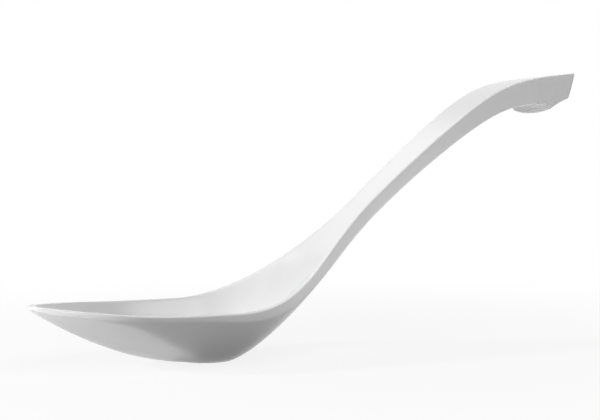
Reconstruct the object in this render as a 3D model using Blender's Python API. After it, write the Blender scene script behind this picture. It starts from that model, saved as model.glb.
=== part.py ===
"""A one-piece moulded serving spoon: leaf-shaped bowl on a flat foot, rising handle, hooked end."""

import math

import bmesh
import bpy
from mathutils import Vector
from mathutils.geometry import interpolate_bezier

# Sizes in millimetres, angles in degrees
MM = 0.001
LENGTH = 270.0
HEIGHT = 130.0

# Bowl
BOWL_WIDTH = 73.0
BOWL_DEPTH = 23.6
TIP_RISE = 3.8
TIP_ANGLE = 5.0
FLOOR = 3.2
RIM_WIDTH = 2.6
TIP_WALL = 3.4
TIP_THICKNESS = 1.5
RIM_BAND = 2.4
FOOT_CUT = 1.8

# Handle
NECK_WIDTH = 19.6
NECK_THICKNESS = 7.3
END_WIDTH = 29.5
END_THICKNESS = 13.4
HANDLE_ANGLE = 38.5
END_ANGLE = 6.6
UNDERCUT_ANGLE = 17.8

# Hook under the handle's end
LIP_DROP = 4.7
LIP_RISE = 6.2
LIP_INSET = 13.3
NOTCH_RUN = 6.0

# How much of the lip's drop and rise the handle's side follows: the lip is rounder across than the handle
HOOK_SIDE_SHARE = 0.65

# Rounding: of the rim and the handle's top edges, of the handle's end,
# of the underside at the neck and at the hook
EDGE_RADIUS = 0.7
END_RADIUS = 0.5
UNDER_ROUND = 2.8
LIP_ROUND = 1.2

# Lean of the upright band under the rim: outwards per millimetre down, so the crease is the widest line
BAND_LEAN_RATIO = 0.06

# Where things sit along the spoon, as shares of its length from the tip
LOWEST_RIM_SHARE = 0.287
DEEPEST_SHARE = 0.305
WIDEST_SHARE = 0.319
BAND_START_SHARE = 0.19
BAND_END_SHARE = 0.39
TILT_START_SHARE = 0.3
TILT_END_SHARE = 0.54
THIN_NECK_SHARE = 0.461
HOLLOW_END_SHARE = 0.49
NECK_SHARE = 0.582
MID_HANDLE_SHARE = 0.685
LEAN_START_SHARE = 0.9
CREST_SHARE = 0.931

# The handle's height halfway up, as a share of the whole height
MID_HEIGHT_SHARE = 0.709

# How far the rim line keeps the direction of its tip, its lowest point, its middle and its end,
# as shares of the run between them
TIP_PULL_SHARE = 0.5
DIP_PULL_SHARE = 0.45
RISE_PULL_SHARE = 0.355
STEEP_PULL_SHARE = 0.615
CREST_PULL_SHARE = 0.61
END_PULL_SHARE = 0.46

# Powers of the curves: of the nose seen from above, of the keel and the hollow seen from the side,
# of the hollow and the belly seen along the spoon, and of the handle's growth
NOSE_POWER = 0.52
KEEL_START_POWER = 0.96
KEEL_POWER = 1.81
HOLLOW_POWER = 2.0
HOLLOW_FLOOR_POWER = 2.4
HOLLOW_SIDE_POWER = 1.25
BELLY_POWER = 2.2
HANDLE_POWER = 3.5
FLARE_POWER = 1.3
THICKEN_POWER = 2.53

# Loops across the spoon, and points round half of each loop
TIP_RUN_SHARE = 0.03
TIP_CROWDING_POWER = 2.2
TIP_LOOPS = 9
BODY_LOOPS = 40
HOOK_LOOPS = 30
HOLLOW_POINTS = 8
CORNER_POINTS = 2
BELLY_POINTS = 9


def ease(start, end, x):
    """Rises from 0 at start to 1 at end, level at both."""
    share = min(max((x - start) / (end - start), 0.0), 1.0)
    return 0.5 - 0.5 * math.cos(math.pi * share)


def direction(angle):
    """The way that climbs at this angle, in side view."""
    return Vector((math.cos(math.radians(angle)), math.sin(math.radians(angle))))


def rim_line():
    """The top edge in side view: points (x, z) from the tip to the handle's end."""
    tip = Vector((0.0, BOWL_DEPTH + TIP_RISE))
    low = Vector((LOWEST_RIM_SHARE * LENGTH, BOWL_DEPTH))
    middle = Vector((MID_HANDLE_SHARE * LENGTH, MID_HEIGHT_SHARE * HEIGHT))
    end = Vector((LENGTH, HEIGHT))
    knots = (
        (tip, -TIP_ANGLE, TIP_PULL_SHARE, low, 0.0, DIP_PULL_SHARE),
        (low, 0.0, RISE_PULL_SHARE, middle, HANDLE_ANGLE, STEEP_PULL_SHARE),
        (middle, HANDLE_ANGLE, CREST_PULL_SHARE, end, END_ANGLE, END_PULL_SHARE),
    )
    points = [tip]
    for start, start_angle, start_pull, stop, stop_angle, stop_pull in knots:
        run = stop.x - start.x
        after_start = start + direction(start_angle) * start_pull * run
        before_stop = stop - direction(stop_angle) * stop_pull * run
        points += interpolate_bezier(start, after_start, before_stop, stop, 200)[1:]
    return points


RIM_LINE = rim_line()


def rim_at(x):
    """The rim line's height and its slope in radians, x millimetres from the tip."""
    for before, after in zip(RIM_LINE, RIM_LINE[1:]):
        if x <= after.x:
            break
    step = after - before
    height = before.y + step.y * (x - before.x) / step.x
    return height, math.atan2(step.y, step.x)


def half_width(x):
    """Half the width over the rim, then over the handle."""
    widest = WIDEST_SHARE * LENGTH
    neck = NECK_SHARE * LENGTH
    if x < widest:
        return 0.5 * BOWL_WIDTH * (1.0 - (1.0 - x / widest) ** 2) ** NOSE_POWER
    if x < neck:
        return 0.5 * (BOWL_WIDTH + (NECK_WIDTH - BOWL_WIDTH) * ease(widest, neck, x))
    flare = math.sin(0.5 * math.pi * (x - neck) / (LENGTH - neck)) ** FLARE_POWER
    return 0.5 * (NECK_WIDTH + (END_WIDTH - NECK_WIDTH) * flare)


def handle_thickness(x):
    """The handle's thickness, without its hook."""
    neck = THIN_NECK_SHARE * LENGTH
    share = min(max((x - neck) / (CREST_SHARE * LENGTH - neck), 0.0), 1.0)
    return NECK_THICKNESS + (END_THICKNESS - NECK_THICKNESS) * share**THICKEN_POWER


def hook(x):
    """How far the lip stands below the handle: a steep inner face, then a slope that rises to the end."""
    lip = LENGTH - LIP_INSET
    slope = min(max((x - lip) / LIP_INSET, 0.0), 1.0)
    return LIP_DROP * ease(lip - NOTCH_RUN, lip, x) - LIP_RISE * slope


def outer_depth(x):
    """Depth of the outside below the rim line, along the middle of the spoon."""
    full = BOWL_DEPTH + FOOT_CUT
    deepest = DEEPEST_SHARE * LENGTH
    if x < deepest:
        return full - (full - TIP_THICKNESS) * (1.0 - (x / deepest) ** KEEL_START_POWER) ** KEEL_POWER
    bowl = 1.0 - ease(deepest, THIN_NECK_SHARE * LENGTH, x)
    return handle_thickness(x) + (full - NECK_THICKNESS) * bowl + hook(x)


def hollow_depth(x):
    """Depth of the bowl's inside below the rim line, along the middle of the spoon."""
    deepest = DEEPEST_SHARE * LENGTH
    ahead = min(max((deepest - x) / (deepest - TIP_WALL), 0.0), 1.0)
    run_out = 1.0 - ease(deepest, HOLLOW_END_SHARE * LENGTH, x)
    return (BOWL_DEPTH - FLOOR) * (1.0 - ahead**HOLLOW_POWER) * run_out


def under_round(x):
    """How far the underside is rounded up to the handle's side: less towards the hook."""
    return UNDER_ROUND + (LIP_ROUND - UNDER_ROUND) * ease(NECK_SHARE * LENGTH, CREST_SHARE * LENGTH, x)


def band_height(x):
    """Height of the upright band: it starts at the tip and widens into the handle's side."""
    side = handle_thickness(x) + HOOK_SIDE_SHARE * hook(x) - under_round(x)
    front = TIP_THICKNESS + (RIM_BAND - TIP_THICKNESS) * ease(0.0, TIP_RUN_SHARE * LENGTH, x)
    return front + (side - RIM_BAND) * ease(BAND_START_SHARE * LENGTH, BAND_END_SHARE * LENGTH, x)


def across_top(x):
    """Points (y, depth) from the middle of the hollow to the rim: flat where the hollow has run out."""
    width = half_width(x)
    spread = (half_width(x + 0.01) - width) / 0.01
    rim = RIM_WIDTH * math.hypot(1.0, spread)
    # The rim fills no more than 0.7 of the narrow nose.
    inside = max(width - rim, 0.3 * width)
    points = []
    for step in range(HOLLOW_POINTS + 1):
        across = math.sin(0.5 * math.pi * step / HOLLOW_POINTS)
        depth = hollow_depth(x) * (1.0 - across**HOLLOW_FLOOR_POWER) ** HOLLOW_SIDE_POWER
        points.append((inside * across, depth))
    return points


def over_edge(x):
    """Points of the quarter round on the rim's outer edge, which the band's lean sets in a little."""
    width = half_width(x) - BAND_LEAN_RATIO * band_height(x)
    radius = min(EDGE_RADIUS, 0.3 * width)
    points = []
    for step in range(CORNER_POINTS + 1):
        turn = 0.5 * math.pi * step / CORNER_POINTS
        points.append((width - radius * (1.0 - math.sin(turn)), radius * (1.0 - math.cos(turn))))
    return points


def round_belly(x):
    """Points from the crease to the middle of the underside: a round belly and lip, a fuller handle."""
    band = band_height(x)
    crease = half_width(x)
    belly = outer_depth(x) - band
    lip = max(hook(x), 0.0) / LIP_DROP
    fuller = ease(WIDEST_SHARE * LENGTH, NECK_SHARE * LENGTH, x) * (1.0 - lip)
    across_power = 2.0 / (BELLY_POWER + (HANDLE_POWER - BELLY_POWER) * fuller)
    down_power = 2.0 / (1.0 + fuller)
    points = []
    for step in range(BELLY_POINTS):
        turn = 0.5 * math.pi * step / BELLY_POINTS
        across = crease * math.cos(turn) ** across_power
        points.append((across, band + belly * math.sin(turn) ** down_power))
    points.append((0.0, band + belly))
    return points


def section_loop(x):
    """The closed outline across the spoon: it tilts with the handle and leans back at its end."""
    height, slope = rim_at(x)
    follow = ease(TILT_START_SHARE * LENGTH, TILT_END_SHARE * LENGTH, x)
    back = ease(LEAN_START_SHARE * LENGTH, LENGTH, x)
    tilt = follow * (1.0 - back) * slope - back * math.radians(UNDERCUT_ANGLE)
    right = across_top(x) + over_edge(x) + round_belly(x)
    left = [(-y, depth) for y, depth in right[-2:0:-1]]
    loop = []
    for y, depth in right + left:
        along = x - 0.5 * LENGTH + depth * math.sin(tilt)
        loop.append(Vector((along, y, height - depth * math.cos(tilt))) * MM)
    return loop


def stations():
    """Distances from the tip at which the loops stand, closer together at the tip and at the hook."""
    tip_run = TIP_RUN_SHARE * LENGTH
    hook_run = LIP_INSET + 2.0 * NOTCH_RUN
    stop = LENGTH - END_RADIUS
    body_run = stop - tip_run - hook_run
    places = [tip_run * (step / TIP_LOOPS) ** TIP_CROWDING_POWER for step in range(1, TIP_LOOPS + 1)]
    places += [tip_run + body_run * step / BODY_LOOPS for step in range(1, BODY_LOOPS + 1)]
    places += [stop - hook_run * (1.0 - step / HOOK_LOOPS) for step in range(1, HOOK_LOOPS + 1)]
    return places


def ring(bm, points):
    """A closed ring of edges through the points."""
    verts = [bm.verts.new(point) for point in points]
    return [bm.edges.new((verts[i - 1], verts[i])) for i in range(len(verts))]


def round_off(bm, faces):
    """Ends the handle in a quarter round: each step insets the end face and moves it out."""
    for step in range(CORNER_POINTS):
        turn = 0.5 * math.pi * step / CORNER_POINTS
        after = 0.5 * math.pi * (step + 1) / CORNER_POINTS
        inwards = END_RADIUS * MM * (math.cos(turn) - math.cos(after))
        outwards = END_RADIUS * MM * (math.sin(after) - math.sin(turn))
        bmesh.ops.inset_region(bm, faces=faces, thickness=inwards, depth=outwards, use_even_offset=True)


def cut_foot(bm):
    """Cuts the round belly off level with the ground, which leaves the flat foot."""
    everything = bm.verts[:] + bm.edges[:] + bm.faces[:]
    cut = bmesh.ops.bisect_plane(bm, geom=everything, plane_no=(0, 0, 1), clear_inner=True)
    foot_edges = [item for item in cut["geom_cut"] if isinstance(item, bmesh.types.BMEdge)]
    bmesh.ops.edgeloop_fill(bm, edges=foot_edges)


def outline_foot(mesh):
    """Keeps the edge of the foot crisp: it is too blunt to be found by its angle."""
    for edge in mesh.edges:
        heights = [abs(mesh.vertices[corner].co.z) for corner in edge.vertices]
        if max(heights) < 0.001 * MM:
            edge.use_edge_sharp = True


def white_melamine():
    """Glossy white moulded plastic."""
    material = bpy.data.materials.new("white_melamine")
    material.use_nodes = True
    shader = material.node_tree.nodes["Principled BSDF"]
    shader.inputs["Base Color"].default_value = (0.82, 0.82, 0.81, 1.0)
    shader.inputs["Roughness"].default_value = 0.18
    shader.inputs["Metallic"].default_value = 0.0
    return material


def build_spoon():
    """The whole spoon as one loft, closed at both ends and cut at the foot."""
    bm = bmesh.new()
    rings = [ring(bm, section_loop(x)) for x in stations()]
    for before, after in zip(rings, rings[1:]):
        bmesh.ops.bridge_loops(bm, edges=before + after)
    bmesh.ops.edgeloop_fill(bm, edges=rings[0])
    end_face = bmesh.ops.edgeloop_fill(bm, edges=rings[-1])["faces"]
    bmesh.ops.recalc_face_normals(bm, faces=bm.faces[:])
    round_off(bm, end_face)
    cut_foot(bm)
    bmesh.ops.recalc_face_normals(bm, faces=bm.faces[:])

    mesh = bpy.data.meshes.new("spoon")
    bm.to_mesh(mesh)
    bm.free()
    mesh.shade_smooth()
    mesh.set_sharp_from_angle(angle=math.radians(30.0))
    outline_foot(mesh)
    mesh.materials.append(white_melamine())
    spoon = bpy.data.objects.new("spoon", mesh)
    bpy.context.scene.collection.objects.link(spoon)


for old in list(bpy.data.objects):
    bpy.data.objects.remove(old)
build_spoon()
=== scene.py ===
# %% [markdown]
# A serving spoon, moulded in one piece
#
# The spoon is one glossy white moulding: a leaf-shaped bowl on a small flat foot, an upright band under
# the rim, and a handle that climbs from the bowl and ends in a hook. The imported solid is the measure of
# everything that follows. We load it first and keep its box, because the finer skin that we model here
# has to stay inside that box.

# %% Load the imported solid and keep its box
import math

import bmesh
import bpy
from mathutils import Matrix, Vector
from mathutils.geometry import interpolate_bezier


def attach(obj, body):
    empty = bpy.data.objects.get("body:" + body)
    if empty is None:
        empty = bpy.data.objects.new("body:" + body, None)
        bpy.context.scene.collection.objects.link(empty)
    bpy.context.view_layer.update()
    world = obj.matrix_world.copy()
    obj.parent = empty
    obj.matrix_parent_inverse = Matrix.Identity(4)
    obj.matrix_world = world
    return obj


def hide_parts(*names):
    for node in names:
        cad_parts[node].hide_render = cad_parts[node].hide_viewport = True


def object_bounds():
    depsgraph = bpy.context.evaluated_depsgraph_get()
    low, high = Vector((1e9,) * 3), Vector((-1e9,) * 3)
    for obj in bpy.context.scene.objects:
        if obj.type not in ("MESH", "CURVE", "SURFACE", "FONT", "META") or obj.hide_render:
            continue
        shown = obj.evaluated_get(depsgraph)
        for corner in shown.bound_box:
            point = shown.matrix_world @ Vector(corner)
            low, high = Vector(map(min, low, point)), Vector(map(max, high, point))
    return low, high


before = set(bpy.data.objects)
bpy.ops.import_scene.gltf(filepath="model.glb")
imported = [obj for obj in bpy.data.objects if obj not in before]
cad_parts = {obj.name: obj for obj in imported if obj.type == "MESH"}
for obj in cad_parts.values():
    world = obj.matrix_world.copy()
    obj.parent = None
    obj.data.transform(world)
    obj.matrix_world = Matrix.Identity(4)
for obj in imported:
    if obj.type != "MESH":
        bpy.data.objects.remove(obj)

MM = 0.001
solid_low, solid_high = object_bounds()
LENGTH, BOWL_WIDTH, HEIGHT = (solid_high - solid_low) / MM
print(f"solid: {LENGTH:.1f} x {BOWL_WIDTH:.1f} x {HEIGHT:.1f} mm")

# %% [markdown]
# The rim line
#
# Seen from the side, one line carries the whole design: it sinks from the tip to the lowest point of the
# rim, swings up along the handle and levels out over the hook. It could be drawn as a curve object and
# sampled. Three Bezier stretches from mathutils do the same with four points and their slopes, and leave
# nothing behind in the scene.

# %% Draw the rim line in side view
BOWL_DEPTH = 23.6
TIP_RISE = 3.8
LOWEST_RIM = 0.287 * LENGTH
MID_HANDLE = 0.685 * LENGTH
MID_HANDLE_HEIGHT = 0.709 * HEIGHT
TIP_CLIMB, LEVEL, HANDLE_CLIMB, END_CLIMB = -5.0, 0.0, 38.5, 6.6
BOWL_PULLS = 0.5, 0.45
NECK_PULLS = 0.355, 0.615
HANDLE_PULLS = 0.61, 0.46
STRETCH_POINTS = 400


def heading(degrees):
    """The way that climbs at this angle, in side view."""
    return Vector((math.cos(math.radians(degrees)), math.sin(math.radians(degrees))))


def rim_stretch(start, climb, stop, end_climb, pulls):
    """Points of one stretch: each end keeps its climb for its pull, a share of the run."""
    run = stop.x - start.x
    leaving = start + heading(climb) * pulls[0] * run
    arriving = stop - heading(end_climb) * pulls[1] * run
    return interpolate_bezier(start, leaving, arriving, stop, STRETCH_POINTS)


tip = Vector((0.0, BOWL_DEPTH + TIP_RISE))
lowest = Vector((LOWEST_RIM, BOWL_DEPTH))
mid_handle = Vector((MID_HANDLE, MID_HANDLE_HEIGHT))
handle_end = Vector((LENGTH, HEIGHT))
rim_line = rim_stretch(tip, TIP_CLIMB, lowest, LEVEL, BOWL_PULLS)
rim_line += rim_stretch(lowest, LEVEL, mid_handle, HANDLE_CLIMB, NECK_PULLS)[1:]
rim_line += rim_stretch(mid_handle, HANDLE_CLIMB, handle_end, END_CLIMB, HANDLE_PULLS)[1:]
print(f"rim line: {len(rim_line)} points, lowest at {lowest.x:.0f} mm from the tip")

# %% [markdown]
# How wide the spoon is, seen from above
#
# A moulded form like this has few straight runs, so each measure is a smooth rule of the distance from
# the tip. The bowl's nose runs out almost straight from a small round tip and turns in a shoulder into
# the bowl's side. Behind the bowl the width shrinks to a neck and flares again towards the handle's end.
# An outline drawn point by point would need many points to be as smooth. Most rules here use one easing
# curve, level at both ends, which joins them without a visible kink.

# %% Two helpers for smooth rules


def share_of(start, stop, x):
    """How far x has come from start to stop, held between 0 and 1."""
    return min(max((x - start) / (stop - start), 0.0), 1.0)


def ease(start, stop, x):
    """Rises from 0 at start to 1 at stop, level at both."""
    return 0.5 - 0.5 * math.cos(math.pi * share_of(start, stop, x))


print("ease at a quarter of the way:", round(ease(0.0, 1.0, 0.25), 3))

# %% Rules for the width
NECK_WIDTH = 19.6
END_WIDTH = 29.5
FLARE_POWER = 1.3
WIDEST = 0.319 * LENGTH
NECK = 0.582 * LENGTH
TIP_RADIUS = 7.0
NOSE_SLOPE = 0.8
SIDE_CURVE = 0.03
SHOULDER = 5.0


def nose_width(x):
    """Half the width of the nose: straight out from a round tip, then over a shoulder into the side."""
    front = math.sqrt((NOSE_SLOPE * x) ** 2 + 2.0 * TIP_RADIUS * x)
    side = 0.5 * BOWL_WIDTH * (1.0 - SIDE_CURVE * (1.0 - share_of(0.0, WIDEST, x)) ** 2)
    return (front**-SHOULDER + side**-SHOULDER) ** (-1.0 / SHOULDER)


def half_width(x):
    """Half the width over the rim, then over the handle."""
    to_full = 0.5 * BOWL_WIDTH / nose_width(WIDEST) - 1.0
    nose = nose_width(x) * (1.0 + to_full * ease(0.0, WIDEST, x))
    narrowing = 0.5 * (BOWL_WIDTH - NECK_WIDTH) * ease(WIDEST, NECK, x)
    flaring = math.sin(0.5 * math.pi * share_of(NECK, LENGTH, x)) ** FLARE_POWER
    return nose - narrowing + 0.5 * (END_WIDTH - NECK_WIDTH) * flaring


print(f"half width {half_width(WIDEST):.1f} mm at the widest, {half_width(NECK):.1f} mm at the neck")

# %% [markdown]
# How deep and how thick the spoon is
#
# Below the rim line, the middle of the spoon has a keel that sinks from the tip to the foot and rises to
# the thin neck. The belly is reckoned a little deeper than the bowl stands high, so that the table cuts
# the foot from it. The handle grows thicker towards its crest and carries a hook: a steep inner face down
# to a lip, then a slope up to the end. The band under the rim starts thin at the tip and grows into the
# handle's whole side. Each of these could be sculpted by eye. Rules with named sizes are easier to match
# to the photograph.

# %% Rules for the handle and its hook
NECK_THICKNESS = 7.3
END_THICKNESS = 13.4
THICKENING_POWER = 2.53
THIN_NECK = 0.461 * LENGTH
CREST = 0.931 * LENGTH
LIP_DROP = 4.4
LIP_INSET = 13.3
NOTCH_RUN = 6.0


def handle_thickness(x):
    """The handle's thickness, without its hook."""
    thicker = share_of(THIN_NECK, CREST, x) ** THICKENING_POWER
    return NECK_THICKNESS + (END_THICKNESS - NECK_THICKNESS) * thicker


def hook(x):
    """How far the lip stands below the handle: a steep inner face, then a slope up to the end."""
    lip = LENGTH - LIP_INSET
    return LIP_DROP * (ease(lip - NOTCH_RUN, lip, x) - share_of(lip, LENGTH, x))


print(f"handle {handle_thickness(CREST):.1f} mm thick at its crest, the lip {LIP_DROP} mm lower")

# %% Rules for the keel and the hollow
FOOT_CUT = 1.8
FLOOR = 3.2
TIP_WALL = 3.4
TIP_THICKNESS = 1.5
KEEL_START_POWER = 0.96
KEEL_END_POWER = 1.81
DEEPEST = 0.305 * LENGTH
HOLLOW_END = 0.49 * LENGTH


def outer_depth(x):
    """Depth of the outside below the rim line, along the middle of the spoon."""
    full = BOWL_DEPTH + FOOT_CUT
    sinking = (1.0 - share_of(0.0, DEEPEST, x) ** KEEL_START_POWER) ** KEEL_END_POWER
    rise = (full - NECK_THICKNESS) * ease(DEEPEST, THIN_NECK, x)
    return full - (full - TIP_THICKNESS) * sinking - rise + handle_thickness(x) - NECK_THICKNESS + hook(x)


def hollow_depth(x):
    """Depth of the hollow below the rim line, along the middle of the spoon."""
    ahead = 1.0 - share_of(TIP_WALL, DEEPEST, x)
    return (BOWL_DEPTH - FLOOR) * (1.0 - ahead**2) * (1.0 - ease(DEEPEST, HOLLOW_END, x))


print(f"hollow {hollow_depth(DEEPEST):.1f} mm deep, over a floor of {FLOOR} mm")

# %% Rule for the band under the rim
RIM_BAND = 2.4
TIP_RUN = 0.03 * LENGTH
NECK_ROUND = 2.8
LIP_ROUND = 0.6
HOOK_SIDE_SHARE = 0.75
SIDE_START = 0.19 * LENGTH
SIDE_END = 0.39 * LENGTH


def band_height(x):
    """Height of the upright band, which starts at the tip and widens into the handle's side."""
    front = TIP_THICKNESS + (RIM_BAND - TIP_THICKNESS) * ease(0.0, TIP_RUN, x)
    under_round = NECK_ROUND + (LIP_ROUND - NECK_ROUND) * ease(NECK, CREST, x)
    side = handle_thickness(x) + HOOK_SIDE_SHARE * hook(x) - under_round
    return front + (side - RIM_BAND) * ease(SIDE_START, SIDE_END, x)


print(f"band {band_height(TIP_RUN):.1f} mm high behind the tip, {band_height(CREST):.1f} mm at the crest")

# %% [markdown]
# The rim's edge and the band
#
# Every slice across the spoon has the same order of surfaces: hollow, flat rim, rounded outer edge,
# upright band, crease, belly. On the real moulding no edge is truly sharp, since a mould edge wears and
# plastic shrinks, so the rim's outer edge is a small quarter circle. A Bevel modifier could round it, but
# its radius would also eat into the fine tip. The band swells a little at its middle, because its lower
# part is darker in the photograph.

# %% Points of the outer edge and the band
EDGE_RADIUS = 0.7
EDGE_LIMIT = 0.3
BAND_SWELL = 0.127
BAND_WIDEST = 0.55
BAND_STOP = 0.8
EDGE_STEPS, BAND_STEPS = 6, 5


def quarter_turns(steps, first=0.0):
    """Angles from a first share of a quarter turn to the whole quarter."""
    return [0.5 * math.pi * (first + (1.0 - first) * step / steps) for step in range(steps + 1)]


def band_point(x, down):
    """A point of the band, a share of its height below the rim: it swells a little at its middle."""
    band = band_height(x)
    return Vector((half_width(x) - BAND_SWELL * band * (down - BAND_WIDEST) ** 2, band * down))


def edge_and_band(x):
    """Points (y, depth) of the quarter round on the rim's outer edge, then down the band."""
    radius = min(EDGE_RADIUS, EDGE_LIMIT * half_width(x), EDGE_LIMIT * band_height(x))
    first = radius / band_height(x)
    width = band_point(x, first).x
    turns = quarter_turns(EDGE_STEPS)
    edge = [(width - radius * (1.0 - math.sin(turn)), radius * (1.0 - math.cos(turn))) for turn in turns]
    downs = [first + (BAND_STOP - first) * step / BAND_STEPS for step in range(1, BAND_STEPS)]
    return edge + [tuple(band_point(x, down)) for down in downs]


print(f"edge and band: {len(edge_and_band(DEEPEST))} points on each side")

# %% [markdown]
# The bow and the flank
#
# Under the nose the belly is shaped like a boat's bow: two nearly flat faces meet in a soft keel and turn
# rather hard into the round flank. The line of that turn runs from the band down to the foot, and light
# changes to shade along it. The bow could be cut off with bisect_plane and its edge bevelled, but the
# faces bend a little and the line curves in space. So each surface is a depth below the rim line here,
# and the belly is the lesser of the two, with the corner between them rounded. Behind the deepest point
# only the flank is left, which turns boxier to become the underside of the handle.

# %% Depth of the flank and of the handle's underside
BELLY_POWER = 2.2
HANDLE_POWER = 3.5


def handle_share(x):
    """How far the round belly has become the boxy handle: 1 along the handle, and 0 again at the lip."""
    return ease(WIDEST, NECK, x) * (1.0 - max(hook(x), 0.0) / LIP_DROP)


def belly_power(x):
    """The power of the belly's curve across the spoon: the higher, the boxier."""
    return BELLY_POWER + (HANDLE_POWER - BELLY_POWER) * handle_share(x)


def flank_depth(x, out):
    """Depth of the flank below the rim line, at a share of the way out to the band."""
    band = band_height(x)
    lowest_point = BOWL_DEPTH + FOOT_CUT if x < DEEPEST else outer_depth(x)
    fullness = max(1.0 - out ** belly_power(x), 0.0) ** (1.0 / (1.0 + handle_share(x)))
    return band + (lowest_point - band) * fullness


print(f"flank half way out: {flank_depth(DEEPEST, 0.5):.1f} mm deep")

# %% Depth of the bow
KEEL_ROUND = 4.0
BOW_RISE_IN_FRONT, BOW_RISE_BEHIND = 0.475, 0.3
RISE_CHANGES_FROM, RISE_CHANGES_TO = 35.0, 75.0
BOW_END = 65.0
BOW_DROP = 6.0


def from_keel(y):
    """The distance from the middle, rounded off so that the keel isn't sharp."""
    return math.hypot(y, KEEL_ROUND) - KEEL_ROUND


def bow_depth(x, out):
    """Depth of the bow, which rises evenly from the keel and drops out of the way behind its end."""
    middle = outer_depth(x)
    width = band_point(x, 1.0).x
    change = ease(RISE_CHANGES_FROM, RISE_CHANGES_TO, x)
    rise = BOW_RISE_IN_FRONT + (BOW_RISE_BEHIND - BOW_RISE_IN_FRONT) * change
    rise = min(rise, max(middle - band_height(x), 0.0) / from_keel(width))
    return middle - rise * from_keel(width * out) + BOW_DROP * ease(BOW_END, DEEPEST, x)


print(f"bow half way to the foot and half way out: {bow_depth(0.5 * DEEPEST, 0.5):.1f} mm deep")

# %% Join the bow and the flank
TURN_SOFTNESS = 1.4
SHARPEST = 0.001


def soft_least(one, other, softness):
    """The lesser of two depths, with the corner between them rounded."""
    softness = max(softness, SHARPEST)
    return min(one, other) - softness * math.log1p(math.exp(-abs(one - other) / softness))


def belly_depth(x, out):
    """Depth of the belly below the rim line, at a share of the way out to the band."""
    if x >= DEEPEST:
        return flank_depth(x, out)
    softness = TURN_SOFTNESS * math.sqrt(1.0 - min(out, 1.0))
    return soft_least(bow_depth(x, out), flank_depth(x, out), softness)


print(f"belly at the same place: {belly_depth(0.5 * DEEPEST, 0.5):.1f} mm deep")

# %% [markdown]
# The hollow and the underside
#
# The hollow follows a smooth bowl of its own, but keeps a wall's distance from the belly. Its points end
# at the inner edge of the flat rim, and the outer edge comes next in the slice. The belly's points start
# with a short Bezier curve that softens the crease under the band. Solidify could make one surface from
# the other, but then the foot's thick floor and the thick neck would be lost.

# %% Points of the hollow
RIM_WIDTH = 2.6
WALL = 2.2
NARROWEST_HOLLOW = 0.3
HOLLOW_POWER = 2.4
HOLLOW_RIM_POWER = 1.25
HOLLOW_SOFTNESS = 0.1
HOLLOW_STEPS = 22
SHORT_STEP = 0.01


def hollow_and_rim(x):
    """Points (y, depth) of the hollow, up to the flat rim."""
    width = half_width(x)
    spread = (half_width(x + SHORT_STEP) - width) / SHORT_STEP
    inside = max(width - RIM_WIDTH * math.hypot(1.0, spread), NARROWEST_HOLLOW * width)
    points = []
    for turn in quarter_turns(HOLLOW_STEPS):
        y = inside * math.sin(turn)
        depth = hollow_depth(x) * max(1.0 - math.sin(turn) ** HOLLOW_POWER, 0.0) ** HOLLOW_RIM_POWER
        deepest = belly_depth(x, y / width) - WALL
        points.append((y, max(soft_least(depth, deepest, HOLLOW_SOFTNESS * depth + SHARPEST), 0.0)))
    return points


print(f"hollow: {len(hollow_and_rim(DEEPEST))} points on each side")

# %% Points of the crease and the belly
CREASE_REACH = 0.5
CREASE_LIMIT = 0.2
CREASE_PULL = 0.33
BELLY_START = 0.085
CREASE_STEPS, BELLY_STEPS = 5, 24


def crease_and_belly(x):
    """Points (y, depth) of the softened crease under the band, then of the belly."""
    corner = band_point(x, 1.0)
    turns = quarter_turns(BELLY_STEPS, first=BELLY_START)
    outs = [max(math.cos(turn), 0.0) ** (2.0 / belly_power(x)) for turn in turns]
    under = [(corner.x * out, belly_depth(x, out)) for out in outs]
    above = band_point(x, 1.0 - min(CREASE_REACH / band_height(x), CREASE_LIMIT))
    below = Vector(under[0])
    pulls = corner.lerp(above, CREASE_PULL), corner.lerp(below, CREASE_PULL)
    crease = interpolate_bezier(above, *pulls, below, CREASE_STEPS + 1)
    return [tuple(point) for point in crease[:-1]] + under


print(f"crease and belly: {len(crease_and_belly(DEEPEST))} points on each side")

# %% [markdown]
# Slices along the spoon
#
# The slices stand upright in the bowl, tilt to follow the climbing handle, and lean back at its end,
# which gives the undercut end face. At both ends the slices shrink along a quarter circle, so the end of
# the handle and the tip are rounded off. The underside meets the table in a flat foot. A Boolean could
# cut it, but would leave a sharp edge, so a soft limit for the height rounds the foot's edge instead.

# %% Rules for the rim's height, the rounded ends and the foot
END_RADIUS = 0.8
FOOT_EDGE = 0.45


def rim_at(x):
    """The rim line's height and its slope in radians, x millimetres from the tip."""
    for before, after in zip(rim_line, rim_line[1:]):
        if x <= after.x:
            break
    step = after - before
    return before.y + step.y * (x - before.x) / step.x, math.atan2(step.y, step.x)


def rounding(x):
    """How far a slice shrinks where the tip and the handle's end are rounded off."""
    into_end = END_RADIUS * max(1.0 - x / END_RADIUS, 1.0 - (LENGTH - x) / END_RADIUS, 0.0)
    return END_RADIUS - math.sqrt(max(END_RADIUS**2 - into_end**2, 0.0))


def above_table(z):
    """Keeps a height above the table, with a soft edge where the belly meets the foot."""
    if z > FOOT_EDGE:
        return z
    return (max(z, -FOOT_EDGE) + FOOT_EDGE) ** 2 / (4.0 * FOOT_EDGE)


print(f"the rim stands {rim_at(DEEPEST)[0]:.1f} mm above the table over the foot")

# %% Place one whole slice
END_UNDERCUT = 17.8
TILT_START = 0.3 * LENGTH
TILT_END = 0.54 * LENGTH
LEAN_START = 0.9 * LENGTH


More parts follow.
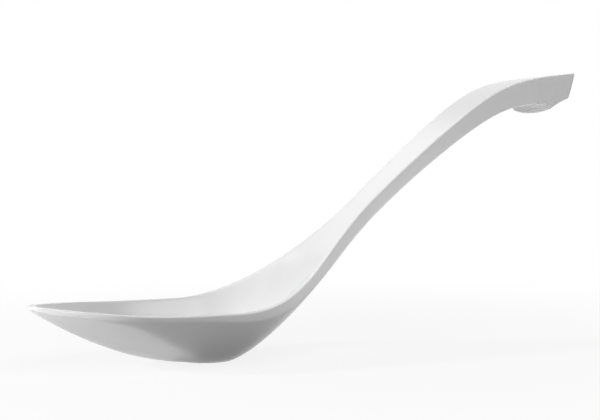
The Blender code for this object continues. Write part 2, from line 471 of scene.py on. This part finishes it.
def whole_slice(x):
    """The closed slice in metres, x millimetres from the tip."""
    height, slope = rim_at(x)
    back = ease(LEAN_START, LENGTH, x)
    tilt = ease(TILT_START, TILT_END, x) * (1.0 - back) * slope - back * math.radians(END_UNDERCUT)
    right = hollow_and_rim(x) + edge_and_band(x) + crease_and_belly(x)
    left = [(-y, depth) for y, depth in right[-2:0:-1]]
    inset = rounding(x)
    narrow = 1.0 - inset / max(half_width(x), 2.0 * END_RADIUS)
    thin = 1.0 - 2.0 * inset / max(outer_depth(x), 2.0 * END_RADIUS)
    placed = []
    for y, depth in right + left:
        depth = inset + depth * thin
        along = x + depth * math.sin(tilt)
        spot = Vector((along, y * narrow, above_table(height - depth * math.cos(tilt)))) * MM
        placed.append(spot + Vector((solid_low.x, 0.0, 0.0)))
    return placed


print(f"one slice: {len(whole_slice(DEEPEST))} points")

# %% Choose where the slices stand
TIP_SLICES, BODY_SLICES, HOOK_SLICES, END_SLICES = 34, 130, 60, 7
FIRST_STEP = 0.4
TIP_CROWDING = 2.4

hook_start = LENGTH - END_RADIUS - LIP_INSET - 2.0 * NOTCH_RUN
hook_run = LENGTH - END_RADIUS - hook_start
tip_shares = [(step + FIRST_STEP) / (TIP_SLICES + FIRST_STEP) for step in range(TIP_SLICES + 1)]
places = [TIP_RUN * share**TIP_CROWDING for share in tip_shares]
places += [TIP_RUN + (hook_start - TIP_RUN) * step / BODY_SLICES for step in range(1, BODY_SLICES + 1)]
places += [hook_start + hook_run * step / HOOK_SLICES for step in range(1, HOOK_SLICES + 1)]
places += [LENGTH - END_RADIUS * (1.0 - math.sin(turn)) for turn in quarter_turns(END_SLICES)[1:]]
slices = [whole_slice(x) for x in places]
print(f"{len(slices)} slices, the first {places[0]:.4f} mm from the tip")

# %% [markdown]
# Wrap a grid round the slices
#
# A loft could be bridged ring by ring, but hundreds of bridges are slow and their seams can drift. A grid
# is quicker: it is a sheet whose rows are the slices and whose columns run round them. Each point of the
# sheet moves to its place on its slice, the two long edges meet and are merged, and the two open ends are
# filled.

# %% Wrap the spoon
MERGE = 1e-4

spoon_mesh = bmesh.new()
rows, columns = len(slices) - 1, len(slices[0])
bmesh.ops.create_grid(spoon_mesh, x_segments=rows, y_segments=columns, size=1.0)
for vert in spoon_mesh.verts:
    row = round(0.5 * (vert.co.x + 1.0) * rows)
    column = round(0.5 * (vert.co.y + 1.0) * columns)
    vert.co = slices[row][column % columns]
bmesh.ops.remove_doubles(spoon_mesh, verts=spoon_mesh.verts[:], dist=MERGE * MM)
open_ends = [edge for edge in spoon_mesh.edges if edge.is_boundary]
bmesh.ops.holes_fill(spoon_mesh, edges=open_ends, sides=0)
bmesh.ops.recalc_face_normals(spoon_mesh, faces=spoon_mesh.faces[:])
loose_edges = sum(not edge.is_manifold for edge in spoon_mesh.edges)
volume = spoon_mesh.calc_volume() / (10.0 * MM) ** 3
print(f"{len(spoon_mesh.faces)} faces, {loose_edges} open edges, {volume:.1f} cm3")

# %% Make the spoon's object
skin = bpy.data.meshes.new("moulded_spoon")
spoon_mesh.to_mesh(skin)
spoon_mesh.free()
skin.shade_smooth()
moulded_spoon = bpy.data.objects.new("moulded_spoon", skin)
bpy.context.scene.collection.objects.link(moulded_spoon)
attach(moulded_spoon, "root")
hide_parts("spoon")
print(f"moulded_spoon: {len(skin.polygons)} faces on body root")

# %% [markdown]
# Moulded melamine
#
# The spoon looks like melamine, the hard white resin of picnic plates: pressed in a polished steel mould,
# so the surface is glossy, faintly uneven where the resin shrank, and a touch duller where it has been
# wiped and washed. Its white is nearly neutral. A plain colour would look like an unfinished model, and a
# picture would have to be unwrapped onto the bowl. Noise on Object coordinates needs no unwrapping, and
# its scales are real millimetres.

# %% A helper for colours and one for nodes


def linear(hex_code):
    """An sRGB hex colour as linear red, green, blue and alpha."""
    parts = [int(hex_code[place:place + 2], 16) / 255.0 for place in (1, 3, 5)]
    return [c / 12.92 if c <= 0.04045 else ((c + 0.055) / 1.055) ** 2.4 for c in parts] + [1.0]


def add_node(tree, kind, settings=None, links=None):
    """Adds a node, sets its inputs or properties by name, and links outputs into its inputs."""
    node = tree.nodes.new(kind)
    for name, value in (settings or {}).items():
        if isinstance(name, int) or name in node.inputs:
            node.inputs[name].default_value = value
        else:
            setattr(node, name, value)
    for name, output in (links or {}).items():
        tree.links.new(output, node.inputs[name])
    return node


print("a melamine white in linear values:", [round(c, 3) for c in linear("#F1F1F1")[:3]])

# %% Mix the melamine's white
FLOW_CLOUD = 22.0


def per_metre(millimetres):
    """The noise scale at which one pattern cell is this many millimetres wide."""
    return 1.0 / (millimetres * MM)


melamine = bpy.data.materials.new("moulded_melamine")
melamine.use_nodes = True
tree = melamine.node_tree
shader = tree.nodes["Principled BSDF"]
shader.inputs["Metallic"].default_value = 0.0
shader.inputs["IOR"].default_value = 1.6
where = add_node(tree, "ShaderNodeTexCoord").outputs["Object"]

# Resin flow leaves clouds of a barely different white.
flow = add_node(
    tree, "ShaderNodeTexNoise", {"Scale": per_metre(FLOW_CLOUD), "Detail": 3.0}, {"Vector": where}
)
tint = add_node(tree, "ShaderNodeValToRGB", links={"Fac": flow.outputs["Fac"]})
tint.color_ramp.elements[0].color = linear("#ECECEC")
tint.color_ramp.elements[1].color = linear("#F1F1F1")
tree.links.new(tint.outputs["Color"], shader.inputs["Base Color"])
print(f"clouds in the white, {FLOW_CLOUD:.0f} mm wide")

# %% Dull its gloss in patches
WIPED_PATCH = 5.0

# Wiping and washing leave the gloss a little softer in small patches.
wiped = add_node(
    tree, "ShaderNodeTexNoise", {"Scale": per_metre(WIPED_PATCH), "Detail": 4.0}, {"Vector": where}
)
gloss = add_node(
    tree, "ShaderNodeMapRange", {"To Min": 0.14, "To Max": 0.22}, {"Value": wiped.outputs["Fac"]}
)
tree.links.new(gloss.outputs["Result"], shader.inputs["Roughness"])
print(f"patches in the gloss, {WIPED_PATCH:.0f} mm wide")

# %% Make it faintly wavy
SHRINK_WAVE = 14.0
SHRINK_HEIGHT = 0.12

# Shrinkage leaves the surface faintly wavy, which bends the edges of reflections.
wave = add_node(
    tree, "ShaderNodeTexNoise", {"Scale": per_metre(SHRINK_WAVE), "Detail": 1.0}, {"Vector": where}
)
uneven = add_node(
    tree, "ShaderNodeBump", {"Strength": 0.25, "Distance": SHRINK_HEIGHT * MM},
    {"Height": wave.outputs["Fac"]},
)
tree.links.new(uneven.outputs["Normal"], shader.inputs["Normal"])
skin.materials.append(melamine)
print(f"{melamine.name}: {len(tree.nodes)} nodes")

# %% [markdown]
# Floor and surroundings
#
# The photograph has a plain white ground. Brighter lamps could make a floor that white, but they would
# burn out the white spoon first. So the floor is a pale sheet that glows only for rays that look: to the
# camera, and in reflections, it mixes its own white with its lit surface, which keeps a faint shadow near
# the spoon. Light that bounces off it comes from the lit surface alone. The world behind it is white in
# the same way and gives no light.

# %% Tell looking from lighting


def looked_at(tree):
    """1 for rays that look, straight, in a reflection or through glass, and 0 for light that bounces."""
    path = add_node(tree, "ShaderNodeLightPath").outputs
    either = add_node(
        tree, "ShaderNodeMath", {"operation": "MAXIMUM"},
        {0: path["Is Camera Ray"], 1: path["Is Glossy Ray"]},
    )
    any_look = add_node(
        tree, "ShaderNodeMath", {"operation": "MAXIMUM"},
        {0: either.outputs["Value"], 1: path["Is Transmission Ray"]},
    )
    return any_look.outputs["Value"]


print("white is shown to the camera and to reflections, and adds no light")

# %% Lay the floor
FLOOR_REACH = 3.0

floor_mesh = bmesh.new()
bmesh.ops.create_grid(floor_mesh, x_segments=1, y_segments=1, size=FLOOR_REACH)
floor_skin = bpy.data.meshes.new("floor")
floor_mesh.to_mesh(floor_skin)
floor_mesh.free()
floor = bpy.data.objects.new("floor", floor_skin)
bpy.context.scene.collection.objects.link(floor)
print(f"floor laid at height 0, {2.0 * FLOOR_REACH:.0f} m wide")

# %% Give the floor its paper
SHADOW_NEAR, SHADOW_FAR = 0.06, 0.4
GLOW_NEAR, GLOW_FAR = 0.86, 1.0
BOUNCED_WHITE, SEEN_WHITE = 0.38, 0.95

paper = bpy.data.materials.new("white_paper")
paper.use_nodes = True
tree = paper.node_tree
tree.nodes.remove(tree.nodes["Principled BSDF"])
seen = looked_at(tree)

# The glow takes over with distance, so the shadow fades before the floor ends.
where = add_node(tree, "ShaderNodeTexCoord").outputs["Object"]
distance = add_node(tree, "ShaderNodeVectorMath", {"operation": "LENGTH"}, {0: where})
fading = add_node(
    tree, "ShaderNodeMapRange",
    {"From Min": SHADOW_NEAR, "From Max": SHADOW_FAR, "To Min": GLOW_NEAR, "To Max": GLOW_FAR,
     "interpolation_type": "SMOOTHSTEP"},
    {"Value": distance.outputs["Value"]},
)
share_of_glow = add_node(
    tree, "ShaderNodeMath", {"operation": "MULTIPLY"}, {0: seen, 1: fading.outputs["Result"]}
)

# The paper bounces less light than it shows, so that the underside of the spoon keeps its shade.
paleness = add_node(
    tree, "ShaderNodeMapRange", {"To Min": BOUNCED_WHITE, "To Max": SEEN_WHITE}, {"Value": seen}
)
lit = add_node(tree, "ShaderNodeBsdfDiffuse", links={"Color": paleness.outputs["Result"]})
glow = add_node(tree, "ShaderNodeEmission", {"Color": linear("#FFFFFF"), "Strength": 1.0})
mix = add_node(
    tree, "ShaderNodeMixShader",
    links={0: share_of_glow.outputs["Value"], 1: lit.outputs["BSDF"], 2: glow.outputs["Emission"]},
)
tree.links.new(mix.outputs["Shader"], tree.nodes["Material Output"].inputs["Surface"])
floor_skin.materials.append(paper)
print(f"{paper.name}: {len(tree.nodes)} nodes")

# %% Surround the spoon with white
world = bpy.data.worlds.new("studio")
bpy.context.scene.world = world
world.use_nodes = True
tree = world.node_tree
background = tree.nodes["Background"]
background.inputs["Color"].default_value = linear("#FFFFFF")
tree.links.new(looked_at(tree), background.inputs["Strength"])
print("world: white to the camera and to reflections")

# %% [markdown]
# Soft boxes
#
# The shading in the photograph says where the light was. The top of the handle is the brightest face, the
# bow is pale and the flank dark, so most light came from above and from a small lamp on the tip's side,
# with little from the camera. Area lamps act as soft boxes: the larger the lamp, the softer its shadow.
# Their powers were balanced against the tones of the photograph. A sun lamp would be simpler, but it has
# no size to mirror in the gloss.

# %% Hang the soft boxes
MIDDLE = Vector((0.0, 0.0, 50.0)) * MM


def way_from_spoon(azimuth, elevation):
    """The direction away from the spoon: azimuth 0 is its near side and -90 its tip, in degrees."""
    azimuth, elevation = math.radians(azimuth), math.radians(elevation)
    level = math.cos(elevation)
    return Vector((math.sin(azimuth) * level, -math.cos(azimuth) * level, math.sin(elevation)))


def soft_box(name, azimuth, elevation, size, power):
    """A square area lamp one metre from the spoon, its size in metres and its power in watts."""
    lamp = bpy.data.lights.new(name, "AREA")
    lamp.size = size
    lamp.energy = power
    box = bpy.data.objects.new(name, lamp)
    bpy.context.scene.collection.objects.link(box)
    away = way_from_spoon(azimuth, elevation)
    box.location = MIDDLE + away
    box.rotation_euler = away.to_track_quat("Z", "Y").to_euler()


soft_box("overhead", azimuth=30.0, elevation=60.0, size=0.8, power=3.95)
soft_box("front", azimuth=0.0, elevation=42.0, size=0.5, power=1.15)
soft_box("at_the_tip", azimuth=-105.0, elevation=20.0, size=0.12, power=6.1)
soft_box("behind", azimuth=180.0, elevation=42.0, size=0.5, power=0.6)
soft_box("behind_the_tip", azimuth=-150.0, elevation=55.0, size=0.5, power=0.4)
soft_box("glint_on_the_tip", azimuth=-66.0, elevation=3.0, size=0.1, power=0.4)

# %% [markdown]
# Cards on the floor
#
# In a studio, white cards beside a pale object throw light up under it. Real cards would have to be
# hidden from the camera and would only return what light falls on them. Here each card is a flat area
# lamp just above the floor, which neither the camera nor a reflection sees. The ones near the tip make
# the bow pale down to the foot, and the ones near the handle open up its underside and the inside of its
# hook.

# %% Lay the cards
CARD_HEIGHT = 1.5


def floor_card(name, place, size, power):
    """A card that sends light up from the floor: place and size in millimetres, power in watts."""
    lamp = bpy.data.lights.new(name, "AREA")
    lamp.shape = "RECTANGLE"
    lamp.size, lamp.size_y = (side * MM for side in size)
    lamp.energy = power
    card = bpy.data.objects.new(name, lamp)
    bpy.context.scene.collection.objects.link(card)
    card.location = Vector((*place, CARD_HEIGHT)) * MM
    card.rotation_euler = (math.pi, 0.0, 0.0)
    card.visible_camera = False
    card.visible_glossy = False


floor_card("card_under_the_tip", place=(-130.0, -20.0), size=(50.0, 50.0), power=0.0021)
floor_card("card_by_the_foot", place=(-100.0, -15.0), size=(50.0, 30.0), power=0.0011)
floor_card("card_before_the_tip", place=(-230.0, -40.0), size=(120.0, 120.0), power=0.12)
floor_card("card_under_the_handle", place=(90.0, -60.0), size=(120.0, 100.0), power=0.052)
floor_card("card_before_the_handle", place=(40.0, -120.0), size=(150.0, 100.0), power=0.05)

# %% [markdown]
# Camera
#
# The camera stands low, a little above the bowl and turned towards the tip. It could be placed by eye.
# Here its place and lens come from fitting the spoon's own edges to those in the photograph, so no shift
# is needed.

# %% Set up the camera
LOOK_AT = Vector((-9.98, 0.10, 64.50)) * MM
DISTANCE = 575.4 * MM

camera = bpy.data.cameras.new("camera")
camera.lens = 76.44
camera.sensor_width = 36.0
camera_stand = bpy.data.objects.new("camera", camera)
bpy.context.scene.collection.objects.link(camera_stand)
away = way_from_spoon(azimuth=-27.26, elevation=2.023)
camera_stand.location = LOOK_AT + DISTANCE * away
camera_stand.rotation_euler = away.to_track_quat("Z", "Y").to_euler()
bpy.context.scene.camera = camera_stand
bpy.context.scene.view_settings.view_transform = "Standard"
print("camera at", [round(c, 3) for c in camera_stand.location])
